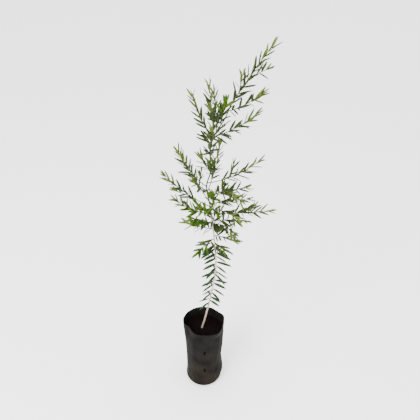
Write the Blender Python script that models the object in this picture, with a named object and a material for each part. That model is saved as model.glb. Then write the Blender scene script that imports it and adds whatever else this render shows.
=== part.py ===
"""A young melaleuca in a black nursery bag filled with potting soil.

Metres, +Z up. The origin is the centre of the bag's flat underside, and +X points to the side
that the leading shoot leans to. Azimuths run from +X towards +Y, in degrees, and a rise is
measured above the horizontal.
"""

import math
import random

import bpy
import numpy as np
from mathutils import Vector

# Gaps that keep neighbouring pieces apart
GAP = 0.0003
SOIL_GAP = 0.0008
LEAF_GAP = 0.0009

# Nursery bag: thin film, flat underside, punched drain holes
BAG_HEIGHT = 0.195
BAG_RADIUS = 0.0455
BAG_FLARE = 0.0028
BAG_CORNER = 0.012
BAG_FILM = 0.0008
BAG_SIDES = 30
BAG_LEVELS = 8
CORNER_STEPS = 3
RIM_WAVE = 0.0016
HOLE_HALF_WIDTH = 0.0030
HOLE_HALF_HEIGHT = 0.0064
HOLE_HEIGHTS = (0.066, 0.130)
HOLE_AZIMUTHS = (-86, -4, 94, 178)
HOLE_SIDES = 10

# Broad folds of the film: azimuth, height, half width in degrees, half height, depth outwards
BAG_FOLDS = (
    (0, 0.028, 26, 0.030, 0.0034),
    (2, 0.150, 34, 0.045, 0.0030),
    (5, 0.080, 30, 0.022, -0.0014),
    (180, 0.190, 40, 0.030, 0.0012),
    (182, 0.050, 45, 0.050, -0.0018),
    (-143, 0.195, 18, 0.015, -0.0065),
    (-108, 0.180, 10, 0.040, 0.0010),
    (-46, 0.195, 16, 0.014, 0.0046),
    (15, 0.196, 10, 0.016, 0.0026),
    (42, 0.190, 14, 0.030, -0.0024),
    (-112, 0.100, 18, 0.060, 0.0012),
    (125, 0.120, 20, 0.060, 0.0014),
)

# Soil
SOIL_DEPTH = 0.0250
SOIL_TOP = BAG_HEIGHT - SOIL_DEPTH
SOIL_LUMP = 0.0016
SOIL_RINGS = 4
SOIL_LUMPS_AT = 0.7
SOIL_LUMPS_REACH = 0.5

# Trunk: bends as (height, x, y), read as a smooth line, and its radius from foot to tip
TRUNK_SIDES = 8
TRUNK_STEP = 0.010
TRUNK_FOOT = SOIL_TOP + GAP
TRUNK_RADIUS = 0.0027
TRUNK_TIP_RADIUS = 0.0011
FLARE_RADIUS = 0.0014
FLARE_FADE = 0.0045
LEVEL_FOOT = 0.012
BEND_STEPS = 8
TRUNK_BENDS = (
    (TRUNK_FOOT, -0.0035, 0.0000),
    (0.215, 0.0070, 0.0010),
    (0.300, 0.0225, 0.0035),
    (0.370, 0.0294, 0.0010),
    (0.450, 0.0250, -0.0025),
    (0.520, 0.0175, -0.0010),
    (0.570, 0.0094, 0.0025),
    (0.606, 0.0176, 0.0030),
    (0.655, 0.0166, 0.0000),
    (0.690, 0.0278, -0.0010),
    (0.716, 0.0435, 0.0005),
    (0.741, 0.0534, 0.0000),
)

# Side limbs and shoots
LIMB_RADIUS = 0.0012
LONG_LIMB = 0.130
SHORT_LIMB_SHARE = 0.3
LIMB_TIP_RADIUS = 0.00068
LIMB_SIDES = 6
TWIG_SIDES = 3
PATH_STEPS = 24
RING_STEP = 0.016

# Leaves
LEAF_LENGTH = 0.026
LEAF_WIDTH = 0.0030
LEAF_KEEL = 0.00048
LEAF_ROOT_WIDTH = 0.00052
LEAF_WIDEST = 0.45
LEAF_STEP_FOOT = 0.0084
LEAF_STEP_TIP = 0.0060
LEAF_ANGLE_LEVEL = 62
LEAF_ANGLE_STEEP = 38
LEAF_ANGLE_TIP = 26
LEAF_SCATTER = 9
LEAF_SIZES = (0.82, 1.08)
LEAF_SIZE_TIP = 0.72
STEP_SPREAD = (0.85, 1.15)
TIP_BARE = 0.002
GOLDEN_ANGLE = 137.5
FIRST_LEAF = 0.004
TIP_LEAVES = 2
TIP_LEAF_ANGLE = 18
TIP_LEAF_SHARE = 0.66
TIP_LEAF_DEPTH = 0.0012
TURNS_TRIED = 5
LEAF_CHECKS = (0.28, 0.40, 0.55, 0.70, 0.85, 1.0)

# Side twigs of a shoot
TWIG_ANGLE = 42
TWIG_SHARE = 0.33
TWIG_LIFT = 12
TWIG_STEEPEST = 80
TWIG_LEAF_SHARE = 0.85
FIRST_TWIG = 0.22
NEXT_TWIG = 0.30
TWIG_FALL_OFF = 0.2

# Leafy shoots: height on the trunk, azimuth, rise, swing, lift, length, bare foot, side twigs.
# A shoot with a bare foot has a bough of that length, and one without grows from the trunk.
SHOOTS = {
    "top_right": (0.731, -25, 24, -13, 20, 0.076, 0, 0),
    "top_right_low": (0.681, -10, 22, -11, 24, 0.092, 0, 0),
    "top_upright": (0.680, 112, 76, 5, 4, 0.092, 0, 0),
    "top_front": (0.704, -78, 58, 6, 4, 0.062, 0, 1),
    "top_left": (0.674, 158, 56, 6, 16, 0.086, 0.018, 0),
    "top_back": (0.690, 84, 34, 20, 22, 0.078, 0, 1),
    "top_short_left": (0.706, -160, 52, 0, 16, 0.036, 0, 0),
    "top_short_right": (0.688, -48, 44, 0, 10, 0.036, 0, 0),
    "top_short_front": (0.668, -84, 46, 0, 12, 0.036, 0, 0),
    "top_short_low": (0.662, 170, 58, 0, 10, 0.030, 0, 0),
    "left_high": (0.571, 173, 36, -22, 26, 0.088, 0.026, 0),
    "left_mid": (0.525, -169, 33, 4, 20, 0.120, 0.030, 1),
    "left_front": (0.506, -139, 30, 7, 18, 0.118, 0.032, 1),
    "left_back": (0.470, 170, 2, -8, 6, 0.058, 0, 0),
    "left_low": (0.444, -126, 12, 10, -12, 0.060, 0, 0),
    "front_high": (0.512, -107, 34, 4, 4, 0.102, 0, 2),
    "front_left": (0.486, -120, 34, 2, 4, 0.096, 0, 1),
    "right_high": (0.579, -1, 9, 2, 33, 0.112, 0.024, 1),
    "right_front": (0.556, -38, 34, -22, -36, 0.100, 0.026, 1),
    "right_back": (0.548, 36, 2, -16, -10, 0.090, 0, 1),
    "right_long": (0.508, -4, 4, -11, 10, 0.118, 0.028, 2),
    "right_mid": (0.532, 24, -4, -14, 4, 0.080, 0, 1),
    "right_front_low": (0.520, -40, 22, -16, -24, 0.078, 0, 1),
    "right_inner": (0.490, -10, 16, -12, -8, 0.070, 0, 1),
    "right_low_front": (0.482, -44, 34, -30, -40, 0.084, 0, 1),
    "right_low": (0.454, -24, 6, -18, 6, 0.050, 0, 0),
    "right_lowest": (0.434, -52, 8, 4, -6, 0.036, 0, 0),
    "mid_upright": (0.596, -76, 60, 0, 8, 0.042, 0, 0),
    "mid_left": (0.604, 170, 48, 0, 20, 0.036, 0, 0),
    "mid_front": (0.562, -132, 40, 0, 12, 0.050, 0, 0),
    "mid_front_low": (0.540, -72, 36, 0, 0, 0.052, 0, 0),
    "back_high": (0.610, 95, 38, -24, 16, 0.104, 0.020, 1),
    "back_right": (0.558, 66, 30, 12, 14, 0.108, 0.024, 1),
    "back_left": (0.536, 124, 28, 10, 18, 0.110, 0.024, 1),
    "back_low": (0.462, 84, 18, 18, 14, 0.092, 0, 1),
}
LEADER = (17, 57, -12, -4, 0.120, 2)

# Tufts of leaves straight on the trunk: height, azimuth, rise, leaf length as a share, leaves
TUFTS = {
    "a": (0.264, -128, 0, 0.90, 3),
    "b": (0.282, -48, -6, 1.05, 3),
    "c": (0.300, -142, 4, 1.05, 3),
    "d": (0.316, 60, 2, 1.05, 3),
    "e": (0.334, -28, 0, 1.15, 3),
    "f": (0.352, 178, 4, 1.20, 3),
    "g": (0.372, -38, -6, 1.30, 3),
    "h": (0.394, -156, -2, 1.45, 3),
    "i": (0.412, -44, -14, 1.50, 3),
    "j": (0.646, -172, 0, 0.90, 3),
    "k": (0.652, -20, 20, 0.90, 3),
}
TUFT_SPUR = 0.0045
TUFT_FAN = 110
TUFT_SCATTER = 14
TUFT_TURN = 8
TUFT_SIZES = (0.85, 1.10)
TUFT_THICKNESS = 0.75
SEED = 41

SHADES = {
    "film": ((0.035, 0.034, 0.031, 1), 0.42),
    "soil": ((0.045, 0.022, 0.014, 1), 0.95),
    "bark": ((0.55, 0.45, 0.33, 1), 0.75),
    "twig": ((0.20, 0.22, 0.08, 1), 0.60),
    "foliage": ((0.11, 0.18, 0.04, 1), 0.50),
}


def clear_scene():
    for obj in list(bpy.data.objects):
        bpy.data.objects.remove(obj)


def material(name):
    """The plain finish of that name, made once."""
    made = bpy.data.materials.get(name)
    if made is None:
        colour, roughness = SHADES[name]
        made = bpy.data.materials.new(name)
        made.use_nodes = True
        shader = made.node_tree.nodes["Principled BSDF"]
        shader.inputs["Base Color"].default_value = colour
        shader.inputs["Roughness"].default_value = roughness
        shader.inputs["Metallic"].default_value = 0.0
    return made


def add_object(name, verts, faces, finish):
    """One named object from plain vertices and faces."""
    mesh = bpy.data.meshes.new(name)
    mesh.from_pydata([tuple(v) for v in verts], [], faces)
    mesh.update()
    mesh.materials.append(material(finish))
    obj = bpy.data.objects.new(name, mesh)
    bpy.context.scene.collection.objects.link(obj)
    return obj


def apply_modifiers(obj):
    """Replaces the object's mesh by what its modifiers make of it."""
    graph = bpy.context.evaluated_depsgraph_get()
    made = bpy.data.meshes.new_from_object(obj.evaluated_get(graph))
    obj.modifiers.clear()
    obj.data = made


def mix(a, b, share):
    return a + (b - a) * share


def bump(distance, reach):
    """1 at no distance, falling smoothly to 0 at the reach."""
    share = min(1.0, abs(distance) / reach)
    return (1 - share * share) ** 2


# Bag and soil


def angle_between(a, b):
    """The turn from b to a in degrees, from -180 to 180."""
    return (a - b + 180) % 360 - 180


def fold(azimuth, height):
    """How far the film stands out at that place, by its broad folds."""
    return sum(
        depth * bump(angle_between(azimuth, at), 2 * width) * bump(height - level, 2 * tall)
        for at, level, width, tall, depth in BAG_FOLDS
    )


def bag_point(azimuth, height, inset=0.0):
    """A point of the film's outer face, or of a face that lies that far inside it."""
    share = height / BAG_HEIGHT
    radius = BAG_RADIUS + BAG_FLARE * share**4
    if height < BAG_CORNER:
        corner = BAG_CORNER - inset
        drop = min(1.0, (BAG_CORNER - height) / corner)
        radius -= corner * (1 - math.sqrt(1 - drop * drop))
    else:
        radius += fold(azimuth, height) * min(1.0, (height - BAG_CORNER) / BAG_CORNER)
    radius -= inset
    turn = math.radians(azimuth)
    return Vector((radius * math.cos(turn), radius * math.sin(turn), height))


def bag_levels(top, inset=0.0):
    """Heights of the rings from the underside up, close together at the round corner."""
    corner = [
        BAG_CORNER - (BAG_CORNER - inset) * math.cos(math.radians(90 * i / CORNER_STEPS))
        for i in range(CORNER_STEPS)
    ]
    return corner + [mix(BAG_CORNER, top, i / BAG_LEVELS) for i in range(BAG_LEVELS + 1)]


def ring_faces(rings, sides):
    """Four-sided faces between rings of points, numbered ring by ring, from low to high."""
    return [
        (r * sides + i, r * sides + (i + 1) % sides, (r + 1) * sides + (i + 1) % sides, (r + 1) * sides + i)
        for r in range(rings - 1)
        for i in range(sides)
    ]


def rim_height(azimuth):
    """The cut edge of the film, which rises and dips a little."""
    turn = math.radians(azimuth)
    return RIM_WAVE * (math.sin(2 * turn + 0.6) + 0.5 * math.cos(3 * turn))


def hole_cutters():
    """One oval cutter for each drain hole, joined as one object."""
    verts, faces = [], []
    for height in HOLE_HEIGHTS:
        for azimuth in HOLE_AZIMUTHS:
            centre = bag_point(azimuth, height)
            out = Vector((centre.x, centre.y, 0)).normalized()
            side = Vector((-out.y, out.x, 0))
            first = len(verts)
            for reach in (-4 * BAG_FILM, 4 * BAG_FILM):
                for i in range(HOLE_SIDES):
                    turn = 2 * math.pi * i / HOLE_SIDES
                    across = side * (HOLE_HALF_WIDTH * math.cos(turn))
                    along = Vector((0, 0, HOLE_HALF_HEIGHT * math.sin(turn)))
                    verts.append(centre + out * reach + across + along)
            faces += [tuple(first + k for k in face) for face in ring_faces(2, HOLE_SIDES)]
            faces.append(tuple(first + i for i in reversed(range(HOLE_SIDES))))
            faces.append(tuple(first + HOLE_SIDES + i for i in range(HOLE_SIDES)))
    cutter = add_object("hole_cutter", verts, faces, "film")
    cutter.hide_render = True
    cutter.display_type = "WIRE"
    return cutter


def build_bag():
    """The film as one open cup, thickened inwards and punched."""
    levels = bag_levels(BAG_HEIGHT)
    verts = []
    for level in levels:
        for i in range(BAG_SIDES):
            azimuth = 360 * i / BAG_SIDES
            lift = rim_height(azimuth) if level == levels[-1] else 0.0
            verts.append(bag_point(azimuth, level) + Vector((0, 0, lift)))
    faces = ring_faces(len(levels), BAG_SIDES)
    faces.append(tuple(reversed(range(BAG_SIDES))))
    bag = add_object("grow_bag", verts, faces, "film")
    film = bag.modifiers.new("film", "SOLIDIFY")
    film.thickness = BAG_FILM
    film.offset = -1
    film.use_even_offset = True
    holes = bag.modifiers.new("holes", "BOOLEAN")
    holes.operation = "DIFFERENCE"
    holes.object = hole_cutters()
    bag.data.shade_smooth()


def build_soil():
    """The soil inside the film, with a lumpy top that is level round the trunk's foot."""
    inset = BAG_FILM + SOIL_GAP
    foot = Vector((TRUNK_BENDS[0][1], TRUNK_BENDS[0][2], SOIL_TOP))
    levels = bag_levels(SOIL_TOP, inset)
    verts = [
        bag_point(360 * i / BAG_SIDES, level, inset) for level in levels for i in range(BAG_SIDES)
    ]
    for ring in range(1, SOIL_RINGS):
        share = (1 - ring / SOIL_RINGS) ** 0.8
        for i in range(BAG_SIDES):
            edge = bag_point(360 * i / BAG_SIDES, SOIL_TOP, inset)
            spot = foot.lerp(edge, share)
            turn = 2 * math.pi * i / BAG_SIDES
            lump = math.sin(3 * turn + 2 * ring) + math.cos(5 * turn - 3 * ring)
            spot.z += SOIL_LUMP / 2 * lump * bump(share - SOIL_LUMPS_AT, SOIL_LUMPS_REACH)
            verts.append(spot)
    rings = len(levels) + SOIL_RINGS - 1
    faces = ring_faces(rings, BAG_SIDES)
    faces.append(tuple(reversed(range(BAG_SIDES))))
    last = (rings - 1) * BAG_SIDES
    faces.append(tuple(last + i for i in range(BAG_SIDES)))
    add_object("soil", verts, faces, "soil").data.shade_smooth()


# Limbs


def smooth_line(points, steps):
    """A line that runs smoothly through the points, as a list of closely spaced points."""
    ends = [points[0] * 2 - points[1], *points, points[-1] * 2 - points[-2]]
    line = []
    for a, b, c, d in zip(ends, ends[1:], ends[2:], ends[3:]):
        slope = (c - a) * 0.5
        bend = a - b * 2.5 + c * 2 - d * 0.5
        twist = (b - c) * 1.5 + (d - a) * 0.5
        for i in range(steps):
            t = i / steps
            line.append(b + slope * t + bend * t**2 + twist * t**3)
    return [*line, points[-1]]


def limb_path(start, azimuth, rise, swing, lift, length):
    """A line of that length whose heading turns evenly by the swing and the lift."""
    points = [start.copy()]
    for i in range(PATH_STEPS):
        share = (i + 0.5) / PATH_STEPS
        turn = math.radians(azimuth + swing * share)
        tilt = math.radians(rise + lift * share)
        heading = Vector(
            (math.cos(turn) * math.cos(tilt), math.sin(turn) * math.cos(tilt), math.sin(tilt))
        )
        points.append(points[-1] + heading * (length / PATH_STEPS))
    return points


def path_length(path):
    return sum((b - a).length for a, b in zip(path, path[1:]))


def place_on(path, distance):
    """The point that far along the path, and the path's heading there."""
    for a, b in zip(path, path[1:]):
        step = (b - a).length
        if distance <= step or b is path[-1]:
            return a + (b - a) * (distance / step), (b - a).normalized()
        distance -= step
    return path[-1], (path[-1] - path[-2]).normalized()


def square_to(heading):
    """Two directions at right angles to the heading and to each other."""
    side = Vector((0, 0, 1)).cross(heading)
    if side.length < 0.05:
        side = Vector((0, 1, 0)).cross(heading)
    side.normalize()
    return side, heading.cross(side).normalized()


def rings_along(stations, sides):
    """Rings of points round the stations, each (centre, heading, radius)."""
    verts = []
    side, _ = square_to(stations[0][1])
    for centre, heading, radius in stations:
        side = (side - heading * side.dot(heading)).normalized()
        top = heading.cross(side)
        for i in range(sides):
            turn = 2 * math.pi * i / sides
            verts.append(centre + (side * math.cos(turn) + top * math.sin(turn)) * radius)
    return verts


def tube(stations, sides):
    """A closed tapering tube. Each end is a fan round a middle point."""
    verts = rings_along(stations, sides)
    faces = ring_faces(len(stations), sides)
    last = (len(stations) - 1) * sides
    foot, tip = len(verts), len(verts) + 1
    verts += [stations[0][0].copy(), stations[-1][0].copy()]
    for i in range(sides):
        faces.append((foot, (i + 1) % sides, i))
        faces.append((tip, last + i, last + (i + 1) % sides))
    return verts, faces


def segments_of(path, every=3):
    """The path as arrays of segment starts and ends, thinned out."""
    kept = path[::every] if path[::every][-1] is path[-1] else [*path[::every], path[-1]]
    points = np.array([tuple(p) for p in kept])
    return points[:-1], points[1:]


def distance_to(point, segments):
    """The distance from a point to the nearest of the segments."""
    a, b = segments
    run = b - a
    share = np.clip(((point - a) * run).sum(1) / (run * run).sum(1), 0, 1)
    return float(np.sqrt(((a + run * share[:, None] - point) ** 2).sum(1).min()))


def trunk_path():
    """The trunk's middle line as the points where its rings sit, close together at the foot."""
    line = smooth_line([Vector((x, y, z)) for z, x, y in TRUNK_BENDS], BEND_STEPS)
    length = path_length(line)
    count = round(length / TRUNK_STEP)
    distances = [0, FLARE_FADE / 2, *(length * i / count for i in range(1, count + 1))]
    return [place_on(line, distance)[0] for distance in distances]


def trunk_at(path, height):
    """The point of the trunk's middle line at that height."""
    for a, b in zip(path, path[1:]):
        if b.z >= height:
            return a + (b - a) * ((height - a.z) / (b.z - a.z))
    return path[-1]


def trunk_radius(height):
    share = (height - TRUNK_FOOT) / (TRUNK_BENDS[-1][0] - TRUNK_FOOT)
    flare = FLARE_RADIUS * math.exp(-(height - TRUNK_FOOT) / FLARE_FADE)
    return mix(TRUNK_RADIUS, TRUNK_TIP_RADIUS, share) + flare


def build_trunk(path):
    """The whole trunk, with its root flare, from a level cut on the soil to its tip."""
    stations = []
    for before, centre, after in zip([path[0], *path], path, [*path[1:], path[-1]]):
        heading = (after - before).normalized()
        level = bump(centre.z - TRUNK_FOOT, LEVEL_FOOT)
        heading = heading.lerp(Vector((0, 0, 1)), level).normalized()
        stations.append((centre, heading, trunk_radius(centre.z)))
    add_object("trunk", *tube(stations, TRUNK_SIDES), "bark").data.shade_smooth()


def limb_radius(distance, length):
    """The radius of a side limb, which is stouter the longer the limb is."""
    stout = min(1.0, mix(SHORT_LIMB_SHARE, 1, length / LONG_LIMB))
    foot = mix(LIMB_TIP_RADIUS, LIMB_RADIUS, stout)
    return mix(foot, LIMB_TIP_RADIUS, distance / length)


def stations_on(path, first, last, length):
    """Evenly spaced stations between two distances along a path."""
    count = max(2, round((last - first) / RING_STEP) + 1)
    stations = []
    for i in range(count):
        distance = mix(first, last, i / (count - 1))
        centre, heading = place_on(path, distance)
        stations.append((centre, heading, limb_radius(distance, length)))
    return stations


def seat_on_trunk(verts, sides, trunk, heading):
    """Slides a tube's foot outwards until each point of it is clear of the trunk."""
    segments = segments_of(trunk, 1)

    def touches(point):
        return distance_to(np.array(point), segments) < trunk_radius(point.z) + GAP

    foot = len(verts) - 2
    for pair in [(foot, foot), *((i, (i + 1) % sides) for i in range(sides))]:
        for share in (0.0, 1.0, 0.5):
            while touches(verts[pair[0]].lerp(verts[pair[1]], share)):
                for index in set(pair):
                    verts[index] += heading * GAP / 4


def clear_distance(path, trunk):
    """How far along the path a limb has left the trunk behind."""
    segments = segments_of(trunk, 1)
    distance = 0.0
    while True:
        point, _ = place_on(path, distance)
        if distance_to(np.array(point), segments) > trunk_radius(point.z) + LIMB_RADIUS + GAP:
            return distance
        distance += GAP


def build_bough(name, path, bare, trunk):
    stations = stations_on(path, 0, bare, path_length(path))
    verts, faces = tube(stations, LIMB_SIDES)
    seat_on_trunk(verts, LIMB_SIDES, trunk, stations[0][1])
    add_object(name, verts, faces, "bark").data.shade_smooth()


# Leaves and the shoots that carry them


def leaf_verts(root, heading, face_up, length):
    """A slim leaf with a flat face and a keel: three points at its root, two at its widest, one tip."""
    side = heading.cross(face_up).normalized()
    top = side.cross(heading).normalized()
    flat = root + top * (LEAF_KEEL / 3)
    wide = flat + heading * (length * LEAF_WIDEST)
    half_width = LEAF_WIDTH * length / LEAF_LENGTH / 2
    return [
        flat + side * LEAF_ROOT_WIDTH / 2,
        flat - side * LEAF_ROOT_WIDTH / 2,
        flat - top * LEAF_KEEL,
        wide + side * half_width,
        wide - side * half_width,
        flat + heading * length,
    ]


LEAF_FACES = (
    (0, 1, 2),
    (0, 3, 4),
    (0, 4, 1),
    (3, 5, 4),
    (0, 2, 3),
    (2, 5, 3),
    (1, 4, 2),
    (2, 4, 5),
)


def leaf_spots(twig, rng):
    """Where a twig's leaves sit: (distance, roll, angle to the twig, share of full length)."""
    length = path_length(twig["path"])
    _, heading = place_on(twig["path"], length / 2)
    foot_angle = mix(LEAF_ANGLE_LEVEL, LEAF_ANGLE_STEEP, max(0.0, heading.z))
    spots = []
    distance = twig["first"]
    roll = rng.uniform(0, 360)
    while distance < length - TIP_BARE:
        share = distance / length
        angle = mix(foot_angle, LEAF_ANGLE_TIP, share**1.5) + rng.uniform(-1, 1) * LEAF_SCATTER
        size = mix(1.0, LEAF_SIZE_TIP, share**3) * rng.uniform(*LEAF_SIZES)
        spots.append((distance, roll, angle, size * twig["size"]))
        roll += GOLDEN_ANGLE + rng.uniform(-1, 1) * LEAF_SCATTER
        distance += mix(LEAF_STEP_FOOT, LEAF_STEP_TIP, share) * rng.uniform(*STEP_SPREAD)
    for i in range(TIP_LEAVES):
        angle = TIP_LEAF_ANGLE * rng.uniform(0.8, 1.3)
        size = TIP_LEAF_SHARE * rng.uniform(*STEP_SPREAD)
        depth = TIP_LEAF_DEPTH * (1 + 0.6 * i)
        spots.append((length - depth, roll, angle, size * twig["size"]))
        roll += 360 / TIP_LEAVES
    return spots


def leaf_heading(heading, roll, angle):
    """The direction of a leaf that leaves a twig at that roll and angle, and its upper side."""
    side, top = square_to(heading)
    turn, tilt = math.radians(roll), math.radians(angle)
    spoke = side * math.cos(turn) + top * math.sin(turn)
    return heading * math.cos(tilt) + spoke * math.sin(tilt), heading


def keeps_clear(points, own, others, neighbours, limbs):
    """True if the points lie nearer to their own twigs than to any other's, and touch nothing."""
    for point in points:
        spot = np.array(point)
        if distance_to(spot, others) < distance_to(spot, own) + 2 * LEAF_GAP:
            return False
        if any(distance_to(spot, line) < LEAF_WIDTH / 2 + LEAF_GAP for line in neighbours):
            return False
        if any(distance_to(spot, line) < radius + LEAF_GAP for line, radius in limbs):
            return False
    return point.z > BAG_HEIGHT + 2 * RIM_WAVE


def grow_leaves(twigs, others, limbs, rng):
    """The leaves of a mass: each is turned round its twig until it has room, or is left out."""
    own = joined_segments([twig["path"] for twig in twigs])
    leaves, blades = [], []
    for twig in twigs:
        siblings = [segments_of(other["path"]) for other in twigs if other is not twig]
        for distance, roll, angle, size in leaf_spots(twig, rng):
            root, heading = place_on(twig["path"], distance)
            length = LEAF_LENGTH * size
            for attempt in range(TURNS_TRIED):
                out, face_up = leaf_heading(heading, roll + attempt * 360 / TURNS_TRIED, angle)
                points = [root + out * length * share for share in LEAF_CHECKS]
                if keeps_clear(points, own, others, siblings + blades, limbs):
                    leaves.append((root, out, face_up, length))
                    blades.append(segments_of(points, 1))
                    break
    return leaves


def joined_segments(paths):
    pairs = [segments_of(path) for path in paths]
    return np.concatenate([a for a, _ in pairs]), np.concatenate([b for _, b in pairs])


def twigs_of(path, bare, clear, side_twigs, rng):
    """A shoot's stem, and the side twigs that leave it."""
    length = path_length(path)
    first = max(bare + FIRST_LEAF, clear)
    twigs = [{"path": path, "from": bare, "first": first, "size": 1.0}]
    roll = rng.uniform(0, 360)
    for i in range(side_twigs):
        distance = bare + (length - bare) * (FIRST_TWIG + NEXT_TWIG * i)
        start, heading = place_on(path, distance)
        out, _ = leaf_heading(heading, roll, TWIG_ANGLE)
        azimuth = math.degrees(math.atan2(out.y, out.x))
        rise = math.degrees(math.asin(out.z))
        reach = TWIG_SHARE * (length - bare) * (1 - TWIG_FALL_OFF * i)
        side = limb_path(start, azimuth, rise, 0, min(TWIG_LIFT, TWIG_STEEPEST - rise), reach)
        twigs.append({"path": side, "from": 0.0, "first": 2 * FIRST_LEAF, "size": TWIG_LEAF_SHARE})
        roll += GOLDEN_ANGLE
    return twigs


def join_mass(name, solids, finish):
    """Fuses a stem with its twigs and leaves by one Boolean union."""
    group = bpy.data.collections.new(name + "_pieces")
    bpy.context.scene.collection.children.link(group)
    base = add_object(name, *solids[0], finish)
    for verts, faces in solids[1:]:
        piece = add_object(name + "_piece", verts, faces, finish)
        bpy.context.scene.collection.objects.unlink(piece)
        group.objects.link(piece)
    union = base.modifiers.new("union", "BOOLEAN")
    union.operation = "UNION"
    union.operand_type = "COLLECTION"
    union.collection = group
    apply_modifiers(base)
    for piece in list(group.objects):
        bpy.data.objects.remove(piece)
    bpy.data.collections.remove(group)


def twig_tube(twig):
    """The closed three-sided tube of one twig."""
    path = twig["path"]
    length = path_length(path)
    stations = stations_on(path, twig["from"], length, length)
    return tube(stations, TWIG_SIDES), stations


def build_mass(name, mass, others, limbs, trunk):
    """One mass of foliage: its stem, side twigs and leaves in one solid."""
    rng = random.Random(mass["seed"])
    solids = []
    for twig in mass["twigs"]:
        (verts, faces), stations = twig_tube(twig)
        if twig is mass["twigs"][0] and mass["on_trunk"]:
            seat_on_trunk(verts, TWIG_SIDES, trunk, stations[0][1])
        solids.append((verts, faces))
    for root, out, face_up, length in grow_leaves(mass["twigs"], others, limbs, rng):
        solids.append((leaf_verts(root, out, face_up, length), LEAF_FACES))
    join_mass(name, solids, "foliage")


def tuft_twigs(trunk, height, azimuth, rise, size):
    """A short spur on the trunk."""
    start = trunk_at(trunk, height)
    reach = trunk_radius(height) + TUFT_SPUR
    path = limb_path(start, azimuth, max(0, rise), 0, 0, reach)
    return [{"path": path, "from": 0.0, "first": reach, "size": size}]


def build_tuft(name, twigs, leaves, azimuth, rise, trunk, seed):
    """A spur with a fan of leaves at its end."""
    rng = random.Random(seed)
    path, size = twigs[0]["path"], twigs[0]["size"]
    reach = path_length(path)
    stations = [(*place_on(path, distance), LIMB_RADIUS * TUFT_THICKNESS) for distance in (0, reach)]
    verts, faces = tube(stations, TWIG_SIDES)
    seat_on_trunk(verts, TWIG_SIDES, trunk, stations[0][1])
    solids = [(verts, faces)]
    root, _ = place_on(path, reach - TIP_LEAF_DEPTH)
    for i in range(leaves):
        share = i / (leaves - 1) - 0.5
        turn = math.radians(azimuth + TUFT_FAN * share + rng.uniform(-TUFT_TURN, TUFT_TURN))
        tilt = math.radians(rise + rng.uniform(-TUFT_SCATTER, TUFT_SCATTER))
        out = Vector((math.cos(turn) * math.cos(tilt), math.sin(turn) * math.cos(tilt), math.sin(tilt)))
        length = LEAF_LENGTH * size * rng.uniform(*TUFT_SIZES)
        solids.append((leaf_verts(root, out, Vector((0, 0, 1)), length), LEAF_FACES))
    join_mass(name, solids, "foliage")


def plan_masses(trunk):
    """Every shoot's path and side twigs, worked out before any leaf is grown."""
    masses = {}
    azimuth, rise, swing, lift, length, side_twigs = LEADER
    tip, _ = place_on(trunk, path_length(trunk))
    start = limb_path(tip, azimuth, rise, 0, 0, GAP)[-1]
    plans = {"leader": (limb_path(start, azimuth, rise, swing, lift, length), 0.0, side_twigs)}
    for name, (height, azimuth, rise, swing, lift, length, bare, side_twigs) in SHOOTS.items():
        path = limb_path(trunk_at(trunk, height), azimuth, rise, swing, lift, length)
        plans[name] = (path, bare, side_twigs)
    for order, (name, (path, bare, side_twigs)) in enumerate(plans.items()):
        rng = random.Random(SEED + order)
        from_bough = bare + GAP if bare else 0.0
        clear = 0.0 if name == "leader" else clear_distance(path, trunk)
        masses[name] = {
            "path": path,
            "bare": bare,
            "twigs": twigs_of(path, from_bough, clear, side_twigs, rng),
            "seed": SEED * 100 + order,
            "on_trunk": bare == 0 and name != "leader",
        }
    return masses


def build_plant():
    trunk = trunk_path()
    build_trunk(trunk)
    masses = plan_masses(trunk)
    tufts = {
        name: tuft_twigs(trunk, height, azimuth, rise, size)
        for name, (height, azimuth, rise, size, _) in TUFTS.items()
    }
    limbs = [(segments_of(trunk, 1), TRUNK_RADIUS)]
    for name, mass in masses.items():
        if mass["bare"]:
            stretch = [place_on(mass["path"], mass["bare"] * i / 6)[0] for i in range(7)]
            limbs.append((segments_of(stretch), LIMB_RADIUS))
            build_bough("bough_" + name, mass["path"], mass["bare"], trunk)
    for name, mass in masses.items():
        other_paths = [
            twig["path"] for other, m in masses.items() if other != name for twig in m["twigs"]
        ]
        other_paths += [twigs[0]["path"] for twigs in tufts.values()]
        build_mass("shoot_" + name, mass, joined_segments(other_paths), limbs, trunk)
    for order, (name, (_, azimuth, rise, _, leaves)) in enumerate(TUFTS.items()):
        build_tuft("tuft_" + name, tufts[name], leaves, azimuth, rise, trunk, SEED * 7 + order)


def build_part():
    clear_scene()
    build_bag()
    build_soil()
    build_plant()


build_part()
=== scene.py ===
"""Dresses the potted melaleuca: bark, twigs, leaves, soil and the bag's wrinkled film.

Lengths are in metres and angles in degrees, in the frame of the solids, +Z up. The plant grows
by the same rule as its solids, written again here and carried on to more and slimmer leaves.
"""

import math
import random

import bpy
import numpy as np
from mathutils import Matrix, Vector, noise


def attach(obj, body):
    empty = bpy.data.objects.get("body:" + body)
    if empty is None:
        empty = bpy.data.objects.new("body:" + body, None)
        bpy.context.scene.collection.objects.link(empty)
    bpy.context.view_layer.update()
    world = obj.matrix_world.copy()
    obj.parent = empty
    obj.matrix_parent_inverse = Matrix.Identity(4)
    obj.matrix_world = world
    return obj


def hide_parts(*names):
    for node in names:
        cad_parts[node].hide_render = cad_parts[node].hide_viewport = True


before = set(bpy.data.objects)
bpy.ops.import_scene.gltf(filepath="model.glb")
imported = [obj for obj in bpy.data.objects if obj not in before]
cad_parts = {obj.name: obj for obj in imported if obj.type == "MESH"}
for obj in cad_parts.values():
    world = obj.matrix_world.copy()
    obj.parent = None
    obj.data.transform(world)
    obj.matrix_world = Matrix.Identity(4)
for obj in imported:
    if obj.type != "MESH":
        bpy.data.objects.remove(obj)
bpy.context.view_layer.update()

# Gaps that keep neighbouring pieces apart
GAP = 0.0003
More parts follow.
